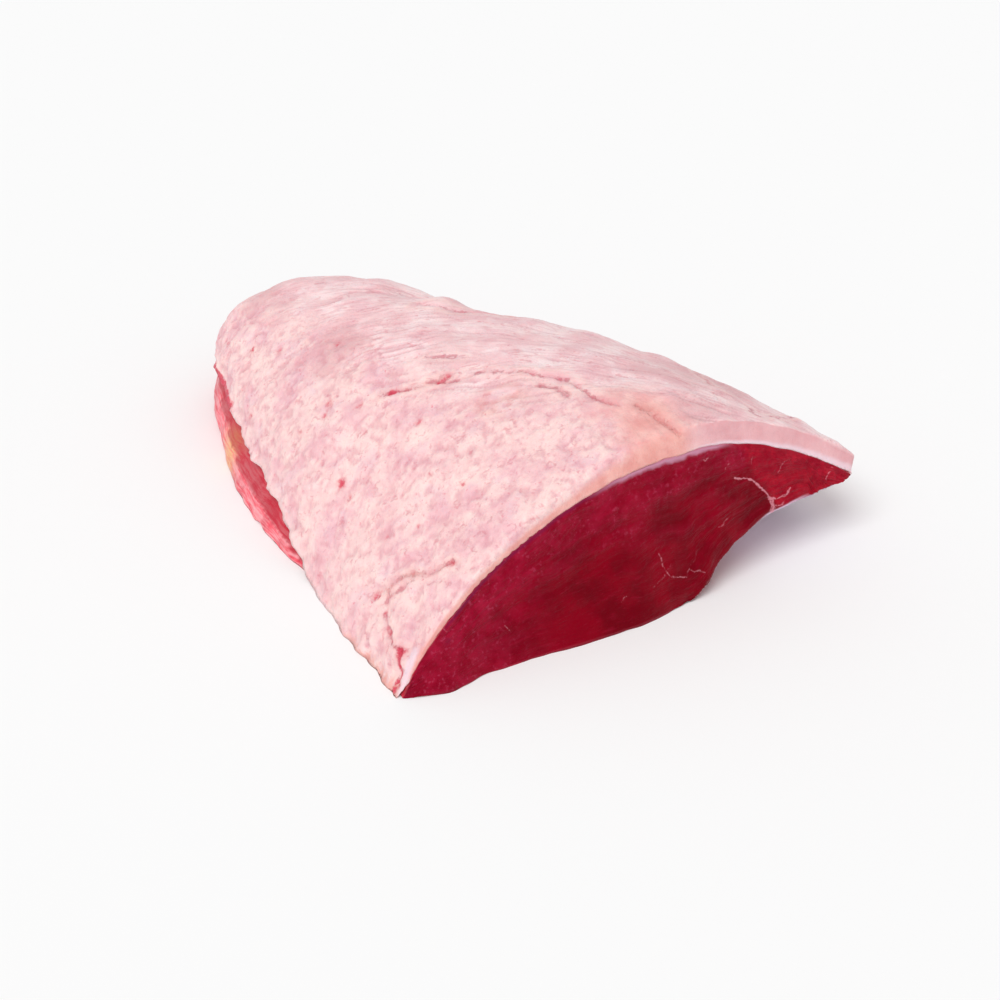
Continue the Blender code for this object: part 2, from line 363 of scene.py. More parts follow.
def cut_finely(data, rounds):
    """Cuts faces into cells. Each round is the cuts along a side and a test of middles and normals."""
    mesh = bmesh.new()
    mesh.from_mesh(data)
    for cuts, wanted in rounds:
        middles = np.array([face.calc_center_median() for face in mesh.faces]) / MM
        chosen = wanted(middles, np.array([face.normal for face in mesh.faces]))
        edges = {edge for face, cut in zip(mesh.faces, chosen) if cut for edge in face.edges}
        bmesh.ops.subdivide_edges(mesh, edges=list(edges), cuts=cuts, use_grid_fill=True)
        mesh.normal_update()
    mesh.to_mesh(data)
    mesh.free()


def smooth(points, data, share, times):
    """Moves each point toward the middle of its neighbours, by a share of the way each time."""
    edges = np.array([edge.vertices[:] for edge in data.edges])
    ends, others = np.concatenate([edges, edges[:, ::-1]]).T
    count = np.bincount(ends, minlength=len(points))
    for _ in range(times):
        middle = [np.bincount(ends, points[others, axis], len(points)) / count for axis in range(3)]
        points = points + share[:, None] * (np.stack(middle, axis=1) - points)
    return points


def normals_of(points, data):
    """Puts the points, in mm, in the mesh and gives its normals there."""
    data.vertices.foreach_set("co", (points * MM).astype(np.float32).ravel())
    data.update()
    return read(data.vertex_normals, "vector")


def keep(data, name, values):
    """Stores a value or a vector for each vertex."""
    kind = "FLOAT" if values.ndim == 1 else "FLOAT_VECTOR"
    field = "value" if values.ndim == 1 else "vector"
    made = data.attributes.new(name, kind, "POINT")
    made.data.foreach_set(field, values.astype(np.float32).ravel())


def dressed(node, name, hidden_side, rounds, softness, dress):
    """A fine piece that stands for a CAD node.

    softness gives how far each point is smoothed, at first and once more. dress gives its new
    points and its masks. One of these, seam, isn't stored: it says where the moves are evened out.
    """
    data = rounded_quads(node, hidden_side)
    cut_finely(data, rounds)
    points = read(data.vertices, "co") / MM
    lightly, strongly = softness(points, normals_of(points, data))
    points = smooth(points, data, lightly, LIGHT_PASSES)
    points = smooth(points, data, strongly, STRONG_PASSES)
    new_points, masks = dress(points, normals_of(points, data))
    evened = SMOOTH_SHARE * masks.pop("seam")
    points = points + smooth(new_points - points, data, evened, SEAM_PASSES)
    points[:, 2] = np.maximum(points[:, 2], 0)
    normals_of(points, data)
    for mask, values in masks.items():
        keep(data, mask, values)
    data.shade_smooth()
    data.name = name
    piece = bpy.data.objects.new(name, data)
    bpy.context.scene.collection.objects.link(piece)
    return piece


def soften_fat(points, normals):
    """The knife's upper edge is crisp on the right only, and the tip's end is round."""
    x, y, z = points.T
    turning = (normals[:, 1] < -CUT_TURN) & (y < CUT_POINTS_END)
    edge = turning & (normals[:, 2] > CUT_TURN)
    tip = turning & (normals[:, 0] > CUT_TURN)
    near_edge = ease(distance_to(points, edge), 9, 3) * ease(x, 32, 14)
    near_tip = ease(distance_to(points, tip), 6, 2)
    shown = ease(-normals[:, 2], 0.6, 0.3) * ease(z, 0.3, 2)
    return SMOOTH_SHARE * shown, SMOOTH_SHARE * np.maximum(near_edge, near_tip) * shown


def soften_lean(points, normals):
    """All but the seam and the underside is smoothed once."""
    shown = ease(normals[:, 2], 0.7, 0.4) * ease(points[:, 2], 0.3, 2)
    return SMOOTH_SHARE * shown, np.zeros(len(points))


def seam_wave(points, cut):
    """A small shift up or down, the same for fat and lean, so that the seam on the cut runs unevenly."""
    x, y, z = points.T
    flat = points * (1, 0, 0)
    ragged = 0.1 + 1.2 * ease(x, -25, -5) * ease(x, 38, 25)
    wave = 0.5 * swell(flat, 6, 51) + ragged * (0.35 * swell(flat, 2.3, 52) + 0.3 * swell(flat, 1.2, 53))
    inside = ease(z, 6, 14) * ease(x, 92, 84)
    return (wave * inside * ease(y, -60, -95))[:, None] * np.array((0, 0.2, 1))


def curds(points):
    """The lumpy fat: its height, and painted shade, the deeper in its hollows the darker."""
    warped = wobbled(points, 4.5, 1.6, 10)
    near, second = cells(warped, 4.0, 1)
    lumps = ease(second - near, 0.0, 0.5)
    near, second = cells(wobbled(points, 2.5, 0.9, 14), 2.0, 2)
    grains = ease(second - near, 0.0, 0.45)
    patchy = ease(swell(points, 13, 5), -0.3, 0.3)
    broken = swell(warped, 4.0, 6, 3)
    arcs = ease(np.abs(swell(warped, 6.0, 12)), 0.055, 0.0) * ease(swell(points, 7, 13), -0.05, 0.25)
    height = 0.30 * (lumps - 0.5) * (0.4 + 0.6 * patchy) + 0.14 * (grains - 0.5)
    height += 0.42 * broken - 0.25 * arcs
    hollow_shade = 0.40 * (1 - lumps) * patchy + 0.35 * (1 - grains) * ease(broken, 0.15, -0.35)
    hollow_shade += 0.55 * ease(broken, -0.12, -0.55) + 0.6 * arcs
    return height, hollow_shade


def wrinkles(points, flow):
    """The smooth fat's long furrows: their height, and painted shade, the deeper in them the darker."""
    lines = np.abs(swell(flow, (30, 4.6, 10), 7))
    fine_lines = np.abs(swell(flow, (12, 1.9, 6), 8))
    furrows = ease(lines, 0.13, 0.0) * ease(swell(flow, (24, 12, 24), 9), -0.2, 0.25)
    fine_furrows = ease(fine_lines, 0.16, 0.0) * ease(swell(points, 12, 16), -0.2, 0.4)
    pleats = swell(flow, (26, 8, 20), 17)
    height = 0.45 * pleats - 0.40 * furrows - 0.14 * fine_furrows
    return height, 0.75 * furrows + 0.35 * fine_furrows


def creases(drawn):
    """The listed creases: their height, the distance to the nearest, and four masks.

    These are painted shade, orange painted shade, painted highlight on the banks and how red each point is.
    """
    uneven = 0.75 + 0.6 * swell(drawn, 4, 46)
    nearest = np.full(len(drawn), NO_CREASE)
    height, crease_shade, amber_shade, lip_highlight, blood = np.zeros((5, len(drawn)))
    for line, width, depth, red, orange_shade in FAT_CREASES:
        away = line_distance(drawn, line)
        close = away < 6 * width
        groove = np.exp(-((away / (width * uneven)) ** 2)) * close
        bank = np.exp(-(((away - 2.6 * width) / width) ** 2)) * close
        height += depth * (0.10 * bank - 0.8 * groove)
        nearest = np.minimum(nearest, away)
        # Painted shade in each crease and beside it
        crease_shade += 0.35 * groove + 0.45 * np.exp(-((away / (2.6 * width)) ** 2))
        # Orange painted shade beside the crease
        amber_shade += orange_shade * np.exp(-((away / (1.6 * width)) ** 2))
        # Painted highlight on the raised bank beside the crease
        lip_highlight += bank
        blood += red * groove
    return height, nearest, crease_shade, amber_shade, lip_highlight, blood


def pits(points):
    """The listed pits: their height, and how red they make each point."""
    smeared = wobbled(points, 2.4, 0.9, 47)
    height, blood = np.zeros((2, len(points)))
    for *place, radius, red in FAT_PITS:
        away = np.linalg.norm(smeared - place, axis=1) / radius
        height -= 0.4 * np.exp(-(away**2))
        blood += red**0.6 * (0.6 * np.exp(-((1.3 * away) ** 2)) + 0.2 * np.exp(-((0.6 * away) ** 2)))
    return height, blood


def shade_patches(points):
    """How dark the listed patches of painted shade make each point."""
    spread = wobbled(points, 12, 8, 53)
    patch_shade = np.zeros(len(points))
    for *place, radius, strength in FAT_SHADE_PATCHES:
        away = np.linalg.norm(spread - place, axis=1)
        patch_shade = np.maximum(patch_shade, strength * ease(away, radius * 1.3, radius * 0.5))
    return patch_shade


def dress_fat(points, normals):
    """The fat's relief and its masks."""
    x, y, z = points.T
    cut = ease(-normals[:, 1], 0.5, 0.8) * ease(y, -60, -80)
    under = ease(-normals[:, 2], 0.1, 0.5)
    from_under = distance_to(points, under > 0.5)
    from_cut = distance_to(points, (normals[:, 1] < CUT_FACING) & (y < CUT_POINTS_END))

    # Zones: far is the mauve right slope, tan the smooth strip by the seam, and sliced the knife's face
    past_ridge = x - np.interp(y, *np.array(RIDGE).T)
    far = ease(past_ridge + 6 * swell(points, 18, 2), -10, 12)
    front = ease(y, -60, -88)
    sliced = cut * ease(x, 20, 34)
    width = np.interp(x, *np.array(TAN_WIDTH).T) * (1 + 0.25 * swell(points, 8, 4))
    tan = ease(from_under, width * 1.5, width * 0.5) * ease(x + 4 * swell(points, 9, 3), 36, 18) * front
    lining_width = np.interp(x, *np.array(LINING_WIDTH).T)
    lining = cut * ease(from_under, lining_width * 1.5, lining_width * 0.5) * ease(x, 20, 40)
    lining += ease(line_distance(points, CORNER_MEMBRANE), 2.6, 0.8)
    rough = (1 - sliced) * (1 - 0.85 * tan) * (1 - under)

    along = x * np.cos(FLOW_TURN) + y * np.sin(FLOW_TURN)
    bend = FLOW_BEND * np.maximum(x - FLOW_BEND_START, 0) ** 2
    aside = -x * np.sin(FLOW_TURN) + y * np.cos(FLOW_TURN) + bend
    flow = wobbled(np.stack([along, aside, z], axis=1), 16, 2.4, 20)
    curd_height, curd_shade = curds(points)
    wrinkle_height, wrinkle_shade = wrinkles(points, flow)
    lumpy = rough * (1 - 0.8 * far)
    ridge = np.exp(-(((past_ridge - 6) / 14) ** 2)) * ease(y, 60, 30)
    wrinkled = rough * (0.10 + 0.90 * far + 0.7 * ridge)
    height = lumpy * curd_height + wrinkled * wrinkle_height
    height *= 1 - ease(from_cut, 4, 1) * ease(from_under, 3.5, 0.8)
    swells = (0.5 + 0.4 * far) * swell(points, 14, 11) + 0.25 * swell(points, 7, 18)
    height += swells * (1 - 0.7 * cut) * (1 - under)
    height += swollen(points, FAT_SWELLS) * (1 - cut) * (1 - under)
    crumbs = ease(np.linalg.norm(points - RIPPLES, axis=1), 15, 5) * ease(swell(points, 5, 34), -0.3, 0.2)
    height += 0.45 * crumbs * swell(wobbled(points, 2, 1, 35), 2.4, 38)
    # Painted shade: a mask that darkens the hollows, furrows and crumpled folds of the relief
    hollow_shade = lumpy * curd_shade + wrinkled * wrinkle_shade
    crumpled = ease(np.abs(swell(wobbled(flow, 4, 1.2, 39), (9, 2.8, 7), 42)), 0.13, 0.0)
    crumpled *= ridge * rough * ease(swell(points, 9, 43), -0.25, 0.15)
    height += ridge * rough * 0.5 * swell(flow, (8, 3.2, 7), 45) - 0.35 * crumpled
    hollow_shade += 0.7 * crumpled

    drawn = wobbled(wobbled(points, 7, 1.4, 40), 2.2, 0.9, 44)
    crease_height, crease, crease_shade, amber_shade, lip_highlight, crease_blood = creases(drawn)
    pit_height, pit_blood = pits(points)
    specks = ease(swell(drawn, 3.6, 31), 0.50, 0.68) * rough * ease(swell(points, 30, 33), -0.1, 0.3)
    height += crease_height + pit_height - 0.2 * specks
    blood = crease_blood + pit_blood + 0.35 * specks
    blood += 0.9 * ease(from_under, 2.4, 1.0) * ease(y, 58, 70) * ease(y, 106, 94) * ease(x, -40, -55)

    # The rim round the joint is cut unevenly, and the underside reaches the lean
    rim = ease(from_under, 12, 1) * ease(from_cut, 1, 6)
    scallops = rim * (1.7 * swell(points, 9, 21) + 1.0 * swell(points, 3.5, 22))
    sideways = normals * (1, 1, 0) * scallops[:, None]
    height += 0.4 * under
    points = points + normals * height[:, None] + seam_wave(points, cut) + sideways
    masks = {
        "sliced": sliced,
        "tan": tan,
        "lining": np.clip(lining, 0, 1),
        "far": far * rough,
        "ridge": ridge,
        "hollow_shade": np.clip(hollow_shade, 0, 1) * (1 - 0.7 * tan),
        "crease_shade": np.clip(crease_shade, 0, 1),
        "patch_shade": shade_patches(points),
        "blood": np.clip(blood, 0, 1),
        "amber_shade": np.clip(amber_shade + 0.5 * crumbs, 0, 1),
        "lip_highlight": np.clip(lip_highlight, 0, 1) * rough,
        "rim": ease(from_under, 5, 1) * (1 - cut) * (1 - front),
        "flow": flow,
        "crease": crease,
        "seam": ease(from_cut, 1.6, 0.8) * ease(from_under, 1.6, 0.8),
    }
    return points, masks


def cut_outline(points, cut):
    """The height of the cut's upper and lower edge at each point's place across."""
    x, _, z = points[cut > 0.6].T
    starts = np.arange(-COLUMNS_END, COLUMNS_END, COLUMN_WIDTH)
    columns = [z[(x >= start) & (x < start + COLUMN_WIDTH)] for start in starts]
    middles = starts + COLUMN_WIDTH // 2
    upper = np.interp(points[:, 0], middles, [column.max(initial=0) for column in columns])
    lower = np.interp(points[:, 0], middles, [column.min(initial=EMPTY_COLUMN) for column in columns])
    return upper, np.minimum(lower, upper - 1)


def standing(line):
    """A line given by x and z, as points on the plane y = 0."""
    return [(x, 0, z) for x, z in line]


def marbling(points):
    """How white each point on the cut is, by its nearness to the drawn lines."""
    flat = wobbled(wobbled(points * (1, 0, 1), 4, 0.7, 70), 1.3, 0.35, 74) * (1, 0, 1)
    uneven = 0.8 + 0.7 * swell(points * (1, 0, 1), 2.2, 77)
    white = np.zeros(len(points))
    for line, width, strength in MARBLING:
        away = line_distance(flat, standing(line))
        white = np.maximum(white, strength * np.exp(-((away / (width * uneven)) ** 2)))
    return white


def dress_lean(points, normals):
    """The lean's relief and its masks."""
    x, y, z = points.T
    cut = ease(-normals[:, 1], 0.45, 0.75) * ease(y, -60, -80)
    under = ease(-normals[:, 2], 0.3, 0.6)
    top = ease(normals[:, 2], 0.3, 0.6)
    side = (1 - cut) * (1 - under)
    upper, lower = cut_outline(points, cut)
    share = np.clip((z - lower) / np.maximum(upper - lower, 4), -0.2, 1.2)

    # Fibres run along the cut between its edges, and along the joint on its sides
    on_cut = np.stack([x, share * FIBRE_RISE, np.full_like(x, 5)], axis=1)
    on_side = np.stack([y, z * 1.6, x * 0.2], axis=1)
    fibre = wobbled(np.where(cut[:, None] > 0.2, on_cut, on_side), 14, 2.0, 60)
    strands = swell(fibre, (9, 1.5, 20), 61)
    bundles = swell(fibre, (18, 5, 20), 62, 2)
    side_strands = swell(fibre, (16, 1.8, 20), 64)
    off_floor = ease(z, 0.3, 4)
    foot = ease(z, 12, 1)
    swells = 0.55 * bundles + 0.40 * swell(points, 9, 75)
    crinkles = ease(np.abs(swell(fibre, (7, 2.6, 20), 78)), 0.14, 0.0) * ease(share, 0.1, 0.8)
    grain = 0.16 * strands - 0.22 * crinkles + 0.10 * swell(points, 1.5, 63)
    height = cut * off_floor * (grain + swells)
    tall = points * (1, 1, 0.5)
    height += foot * (0.9 * swell(tall, 13, 71) + 0.5 * swell(tall, 6, 72))
    height += side * off_floor * (0.40 * side_strands + 0.7 * swell(points, 6, 65))
    height += swollen(points, LEAN_SWELLS) * cut
    height *= 1 - top

    white = marbling(points) * cut
    tip = cut * ease(x + 0.5 * (z - 25) + 2 * swell(points, 5, 66), 56, 60)
    flecks = ease(swell(fibre, (2.6, 0.9, 3), 67), 0.46, 0.66) * ease(swell(points, 9, 68), -0.1, 0.3)
    white = np.maximum(white, cut * flecks * (0.12 + 0.30 * tip + 0.25 * ease(x, -58, -72)))
    height += 0.10 * white

    skin = under * ease(x, 44, 54) + cut * ease(z - lower, 1.3, 0.4) * ease(x, 40, 58) * ease(x, 78, 64)
    seam = (normals[:, 2] > 0.4) & (y < -60) & (z > upper - 6)
    from_seam = distance_to(points, seam)
    veil = 0.95 + 0.4 * ease(x, -14, 4) * ease(x, 38, 28) * (1 + 1.2 * swell(points, 2.5, 74))
    membrane = cut * ease(from_seam / np.maximum(veil, 0.2), 1.6, 0.6)
    membrane *= ease(x, -82, -74) * ease(x, 44, 34)
    # Painted sheen: the cut is lighter magenta towards its left end and its upper edge
    painted_sheen = 0.75 * ease(x + 5 * bundles, -30, -80) + 0.7 * ease(share + 0.25 * bundles, 0.45, 1.0)
    yellow = side * np.exp(-(((y - 54) / 9) ** 2)) * ease(x, -60, -75) * ease(z, 15, 11)
    from_rim = distance_to(points, normals[:, 2] > 0.6)
    tucked = top * ease(y, -60, -95)
    points = points + normals * height[:, None] + seam_wave(points, cut)
    points = points + top[:, None] * (0, 0, 0.45) + tucked[:, None] * (0, 0.25, 0)
    masks = {
        "side": side,
        "rear": ease(y, 82, 98),
        "under": under,
        "white": np.clip(white, 0, 1),
        "tip": tip,
        "skin": np.clip(skin, 0, 1),
        "membrane": membrane,
        "silver": ease(x, -20, 0),
        "painted_sheen": np.clip(painted_sheen, 0, 1) * cut,
        "streaks": side * ease(side_strands, 0.0, 0.45),
        "yellow": yellow,
        # Painted shade: the side is darker red just under the fat's rim
        "edge": side * ease(from_rim, 1.8, 0.6),
        "fibre": fibre,
        "seam": ease(from_seam, 1.6, 0.8),
    }
    return points, masks


class Paint:
    """A material's node tree, built one node at a time."""

    def __init__(self, name):
        self.material = bpy.data.materials.new(name)
        self.material.use_nodes = True
        self.tree = self.material.node_tree
        self.shader = self.tree.nodes["Principled BSDF"]
        self.place = self.node("ShaderNodeTexCoord").outputs["Object"]

    def node(self, kind, inputs=(), **settings):
        made = self.tree.nodes.new(kind)
        for name, value in settings.items():
            setattr(made, name, value)
        for key, value in dict(inputs).items():
            self.put(made.inputs[key], value)
        return made

    def put(self, socket, value):
        if isinstance(value, bpy.types.NodeSocket):
            self.tree.links.new(value, socket)
        else:
            socket.default_value = value

    def mask(self, name):
        """A value that dressed stored on the mesh."""
        return self.node("ShaderNodeAttribute", attribute_name=name).outputs["Fac"]

    def vector(self, name):
        """A vector that dressed stored on the mesh."""
        return self.node("ShaderNodeAttribute", attribute_name=name).outputs["Vector"]

    def noise(self, size, detail, roughness=0.5, *, seed, place=None, stretch=(1, 1, 1)):
        """Noise of that size in mm. place is the object's coordinates unless a vector in mm is given."""
        unit = 1 / MM if place is None else 1
        scale = [unit / (size * s) for s in stretch]
        source = self.place if place is None else place
        moved = self.node("ShaderNodeMapping", {"Vector": source, "Scale": scale, "Location": [seed] * 3})
        made = self.node(
            "ShaderNodeTexNoise",
            {"Vector": moved.outputs[0], "Scale": 1.0, "Detail": detail, "Roughness": roughness},
        )
        return made.outputs["Fac"]

    def step(self, value, start, end, low=0.0, high=1.0):
        """low at start, high at end and a smooth step between."""
        inputs = {"Value": value, "From Min": start, "From Max": end, "To Min": low, "To Max": high}
        return self.node("ShaderNodeMapRange", inputs, interpolation_type="SMOOTHSTEP").outputs["Result"]

    def math(self, operation, a, b=0.0):
        """One of Blender's operations on one or two values."""
        return self.node("ShaderNodeMath", {0: a, 1: b}, operation=operation).outputs[0]

    def times(self, a, b):
        return self.math("MULTIPLY", a, b)

    def line(self, value, width):
        """1 along the lines where a noise crosses its middle."""
        away = self.math("ABSOLUTE", self.math("SUBTRACT", value, 0.5))
        return self.step(away, width, 0.3 * width)

    def mix(self, share, a, b):
        """The colour a where the share is 0 and b where it is 1."""
        made = self.node("ShaderNodeMix", {"Factor": share}, data_type="RGBA")
        self.put(made.inputs[6], a)
        self.put(made.inputs[7], b)
        return made.outputs[2]

    def over(self, base, where, share, top):
        """The base with a colour over it, by a share where the mask says."""
        return self.mix(self.times(where, share), base, top)

    def bump(self, height, distance, strength, normal=None):
        """The normal for a height of that many mm, on top of the normal given."""
        inputs = {"Height": height, "Distance": distance * MM, "Strength": strength}
        if normal is not None:
            inputs["Normal"] = normal
        return self.node("ShaderNodeBump", inputs).outputs["Normal"]


def fat_material():
    paint = Paint("beef_fat")
    broad = paint.noise(18, 3, 0.6, seed=3)
    cool = paint.noise(12, 3, 0.6, seed=19)
    haze = paint.noise(15, 4, 0.6, seed=13)
    patch = paint.noise(7, 4, 0.6, seed=5)
    mottle = paint.noise(3.4, 4, 0.65, seed=15)
    grain = paint.noise(1.3, 3, 0.65, seed=7)
    speck = paint.noise(0.7, 2, 0.6, seed=9)
    flow = paint.vector("flow")
    threads = paint.noise(1.0, 3, 0.6, seed=2, place=flow, stretch=(16, 1.6, 5))
    curls = paint.line(paint.noise(4.0, 1.5, 0.5, seed=21), 0.060)
    curls = paint.times(curls, paint.step(paint.noise(3.5, 3, 0.6, seed=23), 0.53, 0.66))
    lines = paint.line(paint.noise(1.0, 2, 0.5, seed=25, place=flow, stretch=(14, 4.0, 8)), 0.045)
    lines = paint.times(lines, paint.step(paint.noise(6, 3, 0.6, seed=27), 0.50, 0.64))

    base = paint.mix(paint.step(broad, 0.36, 0.60), FAT_ROSY, FAT_PALE)
    base = paint.over(base, paint.step(cool, 0.50, 0.68), 0.30, FAT_COOL)
    base = paint.over(base, paint.step(patch, 0.45, 0.68), 0.70, FAT_CREAM)
    base = paint.over(base, paint.step(mottle, 0.46, 0.30), 0.55, FAT_MOTTLE)
    base = paint.over(base, paint.step(grain, 0.42, 0.30), 0.30, FAT_GRAIN)
    base = paint.over(base, paint.step(speck, 0.60, 0.78), 0.40, FAT_SPECK)
    mauve = paint.mix(paint.step(haze, 0.40, 0.62), MAUVE_DARK, MAUVE_LIGHT)
    mauve = paint.over(mauve, paint.step(threads, 0.50, 0.34), 0.40, MAUVE_THREAD)
    base = paint.over(base, paint.mask("far"), 0.75, mauve)
    # Painted shade in the hollows, furrows and crumpled folds of the relief
    base = paint.over(base, paint.mask("hollow_shade"), 0.50, FAT_HOLLOW_SHADE)
    # Painted shade: broad darker patches on the undulations and the far slope
    base = paint.over(base, paint.mask("patch_shade"), 0.55, PATCH_SHADE_COLOUR)
    # Painted shade in and beside the creases
    base = paint.over(base, paint.mask("crease_shade"), 0.35, CREASE_SHADE)
    # Painted shade: a darker, broken slit along the middle of each crease
    strayed = paint.step(paint.noise(3.0, 3, 0.6, seed=33), 0.3, 0.7, -1.1, 0.5)
    away = paint.math("ABSOLUTE", paint.math("ADD", paint.mask("crease"), strayed))
    slit = paint.step(away, 0.75, 0.15)
    slit = paint.times(slit, paint.step(paint.noise(4, 2, 0.5, seed=35), 0.38, 0.54, 0.5, 1.0))
    base = paint.over(base, slit, 0.55, SLIT_SHADE)
    # Painted highlight: the raised banks beside the creases are lighter
    base = paint.over(base, paint.mask("lip_highlight"), 0.30, CREASE_LIP_HIGHLIGHT)
    rough = paint.math("SUBTRACT", 1.0, paint.math("MAXIMUM", paint.mask("tan"), paint.mask("sliced")))
    drawn = paint.mix(paint.math("MAXIMUM", paint.mask("far"), paint.mask("ridge")), curls, lines)
    spots = paint.step(paint.noise(1.5, 2, seed=31), 0.64, 0.74)
    spots = paint.times(spots, paint.step(cool, 0.44, 0.58))
    base = paint.over(base, paint.times(spots, rough), 0.55, FAT_SPOT)
    base = paint.over(base, paint.times(drawn, rough), 0.38, FAT_LINE)
    tanned = paint.mix(paint.step(patch, 0.3, 0.7), TAN_DARK, TAN_LIGHT)
    base = paint.over(base, paint.mask("tan"), 0.85, tanned)
    sliced = paint.mix(paint.step(haze, 0.3, 0.7), SLICED_DARK, SLICED_LIGHT)
    base = paint.mix(paint.mask("sliced"), base, sliced)
    base = paint.over(base, paint.mask("lining"), 0.75, FAT_LINING)
    base = paint.over(base, paint.mask("rim"), 0.4, FAT_RIM)
    # Painted shade: orange-tan beside some creases and among the ridge's crumbly ripples
    base = paint.over(base, paint.mask("amber_shade"), 0.45, FAT_AMBER_SHADE)
    ragged = paint.times(paint.mask("blood"), paint.step(grain, 0.3, 0.6, 0.6, 1.3))
    base = paint.mix(paint.step(ragged, 0.03, 0.80, 0.0, 0.9), base, FAT_BLOOD)
    paint.put(paint.shader.inputs["Base Color"], base)

    paint.put(paint.shader.inputs["Roughness"], paint.step(patch, 0.3, 0.7, 0.38, 0.55))
    normal = paint.bump(mottle, 0.8, 0.6)
    normal = paint.bump(grain, 0.35, 0.6, normal)
    normal = paint.bump(speck, 0.12, 0.6, normal)
    normal = paint.bump(paint.times(drawn, rough), -0.2, 0.5, normal)
    normal = paint.bump(slit, -0.5, 0.6, normal)
    normal = paint.bump(paint.times(threads, paint.mask("far")), 0.3, 0.4, normal)
    paint.put(paint.shader.inputs["Normal"], normal)
    set_flesh(paint.shader, through=0.15, reach=2.5, spread=FAT_SPREAD, coat=0.10, coat_roughness=0.25)
    return paint.material


def lean_material():
    paint = Paint("beef_lean")
    fibre = paint.vector("fibre")
    strands = paint.noise(1.0, 4, 0.6, seed=4, place=fibre, stretch=(9, 1.2, 8))
    fine = paint.noise(1.0, 3, 0.6, seed=6, place=fibre, stretch=(2.4, 0.5, 3))
    clouds = paint.noise(13, 3, 0.5, seed=1)
    patch = paint.noise(5, 4, 0.6, seed=8)
    grain = paint.noise(0.9, 2, 0.6, seed=11)
    dots = paint.noise(1.6, 2, 0.6, seed=12)

    deep = paint.mix(paint.step(clouds, 0.35, 0.65), LEAN_DEEP, LEAN_WARM)
    # Painted sheen where its mask says
    painted_sheen_colour = paint.mix(paint.step(patch, 0.35, 0.65), PAINTED_SHEEN_DARK, PAINTED_SHEEN_LIGHT)
    base = paint.mix(paint.mask("painted_sheen"), deep, painted_sheen_colour)
    base = paint.over(base, paint.step(strands, 0.54, 0.74), 0.20, STRAND_LIGHT)
    base = paint.over(base, paint.step(strands, 0.46, 0.30), 0.14, STRAND_DARK)
    base = paint.over(base, paint.step(fine, 0.60, 0.78), 0.18, FIBRE_LIGHT)
    # Painted glints: small light silvery dots within the painted sheen
    silver = paint.times(paint.step(dots, 0.56, 0.72), paint.mask("painted_sheen"))
    base = paint.over(base, silver, 0.35, PAINTED_GLINT)
    small = paint.mix(paint.step(patch, 0.35, 0.65), TIP_DARK, TIP_LIGHT)
    small = paint.over(small, paint.step(grain, 0.60, 0.44), 0.25, TIP_GRAIN)
    base = paint.over(base, paint.mask("tip"), 0.8, small)
    flesh = paint.mix(paint.step(strands, 0.38, 0.62), FLESH_RED, FLESH_PALE)
    raw = paint.times(paint.step(paint.noise(16, 4, 0.65, seed=14), 0.46, 0.58), 0.4)
    raw = paint.math("MAXIMUM", raw, paint.times(paint.mask("rear"), 0.55))
    flesh = paint.mix(raw, flesh, FLESH_RAW)
    base = paint.mix(paint.mask("side"), base, flesh)
    streaks = paint.times(paint.mask("streaks"), paint.step(clouds, 0.4, 0.6, 0.2, 0.7))
    base = paint.mix(streaks, base, FLESH_STREAK)
    yellow = paint.times(paint.mask("yellow"), paint.step(strands, 0.38, 0.6, 0.4, 1.0))
    base = paint.mix(yellow, base, YELLOW_SPOT)
    # Painted shade on the side just under the fat's rim
    base = paint.over(base, paint.mask("edge"), 0.7, LEAN_RIM_SHADE)
    base = paint.over(base, paint.mask("under"), 0.6, LEAN_UNDERSIDE)
    tissue = paint.mix(paint.mask("silver"), TISSUE_DARK, TISSUE_SILVER)
    base = paint.over(base, paint.mask("membrane"), 0.70, tissue)
    base = paint.mix(paint.mask("skin"), base, TISSUE_SKIN)
    lines = paint.times(paint.mask("white"), paint.step(grain, 0.3, 0.6, 0.6, 1.2))
    base = paint.mix(paint.step(lines, 0.25, 0.90, 0.0, 0.72), base, MARBLING_WHITE)
    paint.put(paint.shader.inputs["Base Color"], base)

    paint.put(paint.shader.inputs["Roughness"], paint.step(patch, 0.3, 0.7, 0.28, 0.46))
    normal = paint.bump(strands, 0.5, 0.7)
    normal = paint.bump(fine, 0.25, 0.7, normal)
    normal = paint.bump(dots, 0.15, 0.5, normal)
    paint.put(paint.shader.inputs["Normal"], normal)
    paint.shader.inputs["Specular Tint"].default_value = LEAN_SPECULAR_TINT
    set_flesh(paint.shader, through=0.10, reach=1.5, spread=LEAN_SPREAD, coat=0.03, coat_roughness=0.15)
    return paint.material


def set_flesh(shader, through, reach, spread, coat, coat_roughness):
    """Light that passes under the surface, its reach in mm and its spread, and a wet film over it."""
    shader.inputs["Specular IOR Level"].default_value = FLESH_SPECULAR
    shader.inputs["Subsurface Weight"].default_value = through
    shader.inputs["Subsurface Radius"].default_value = spread
    shader.inputs["Subsurface Scale"].default_value = reach * MM
    shader.inputs["Coat Weight"].default_value = coat
    shader.inputs["Coat Roughness"].default_value = coat_roughness


def add_piece(piece, node, material):
    piece.data.materials.clear()
    piece.data.materials.append(material)
    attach(piece, "root")
    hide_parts(node)


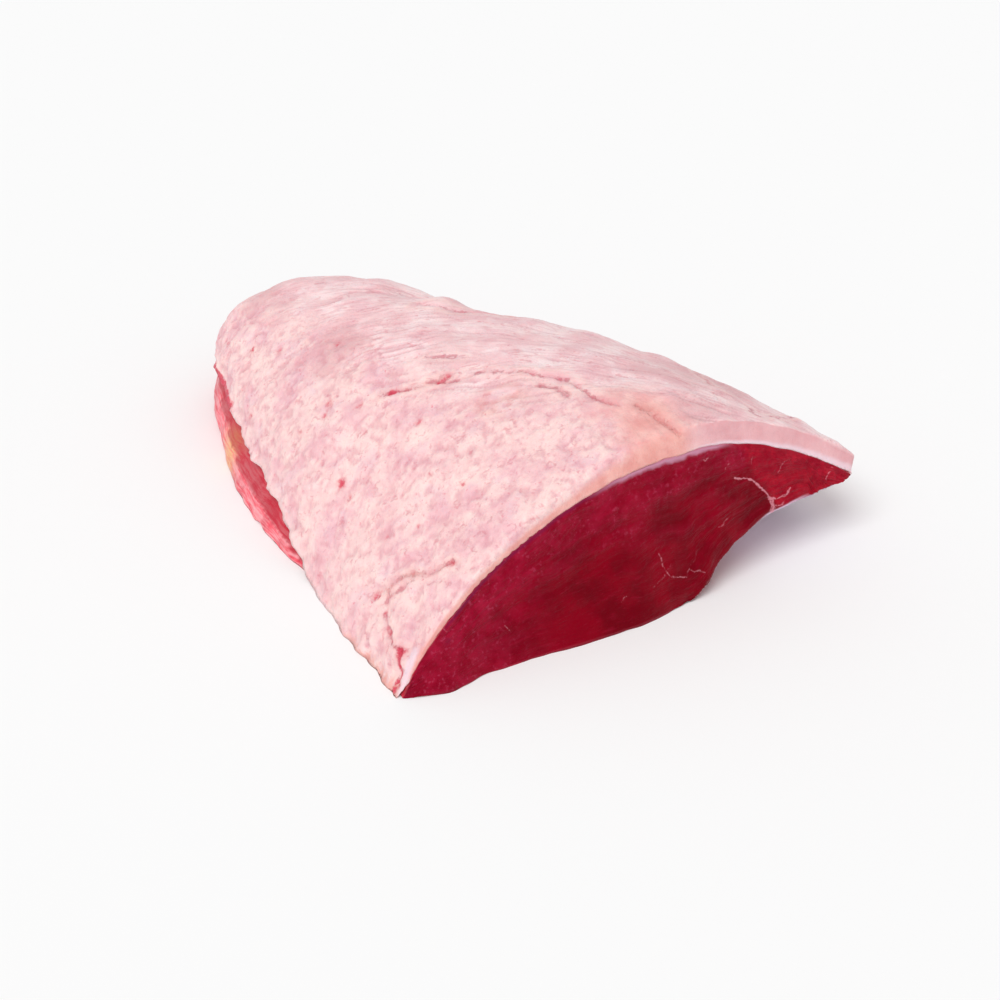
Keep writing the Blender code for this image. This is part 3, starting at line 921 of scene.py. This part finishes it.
def add_floor():
    bpy.ops.mesh.primitive_plane_add(size=FLOOR_SIZE)
    floor = bpy.context.object
    floor.name = "floor"
    made = bpy.data.materials.new("pale_floor")
    made.use_nodes = True
    shader = made.node_tree.nodes["Principled BSDF"]
    shader.inputs["Base Color"].default_value = FLOOR_COLOUR
    shader.inputs["Roughness"].default_value = FLOOR_ROUGHNESS
    shader.inputs["Specular IOR Level"].default_value = FLOOR_SPECULAR
    floor.data.materials.append(made)


def add_studio():
    light = bpy.data.lights.new("key", "SUN")
    light.angle = KEY_SOFTNESS
    light.energy = KEY_POWER
    lamp = bpy.data.objects.new("key", light)
    lamp.location = KEY_PLACE
    lamp.rotation_euler = (-Vector(KEY_PLACE)).to_track_quat("-Z", "Y").to_euler()
    bpy.context.scene.collection.objects.link(lamp)
    world = bpy.data.worlds.new("studio")
    world.use_nodes = True
    sky = world.node_tree.nodes["Background"]
    sky.inputs["Color"].default_value = SKY_COLOUR
    sky.inputs["Strength"].default_value = SKY_POWER
    bpy.context.scene.world = world
    bpy.context.scene.view_settings.view_transform = "Standard"


def add_camera():
    view = bpy.data.cameras.new("camera")
    view.lens = CAMERA_LENS
    camera = bpy.data.objects.new("camera", view)
    camera.location = CAMERA_PLACE
    camera.rotation_euler = (math.radians(CAMERA_TILT), 0, math.radians(CAMERA_TURN))
    bpy.context.scene.collection.objects.link(camera)
    bpy.context.scene.camera = camera


def fat_shows(middles, normals):
    return normals[:, 2] > FAT_SHOWN_SLOPE


def lean_shows(middles, normals):
    slope = normals[:, 2]
    return (np.abs(slope) < LEAN_SHOWN_SLOPE) | ((slope < 0) & (middles[:, 2] > LEAN_FOOT_TOP))


def on_the_cut(middles, normals):
    return (normals[:, 1] < CUT_FACING) & (middles[:, 1] < CUT_FACES_END)


def by_marbling(middles, normals):
    flat = middles * (1, 0, 1)
    away = np.min([line_distance(flat, standing(line)) for line, _, _ in MARBLING], axis=0)
    return on_the_cut(middles, normals) & (away < MARBLING_REACH)


add_camera()
add_floor()
add_studio()
fat_rounds = [(3, fat_shows)]
lean_rounds = [(2, lean_shows), (1, on_the_cut), (1, by_marbling)]
fat = dressed("fat_cap", "fat", -1, fat_rounds, soften_fat, dress_fat)
lean = dressed("lean_muscle", "lean", 1, lean_rounds, soften_lean, dress_lean)
add_piece(fat, "fat_cap", fat_material())
add_piece(lean, "lean_muscle", lean_material())
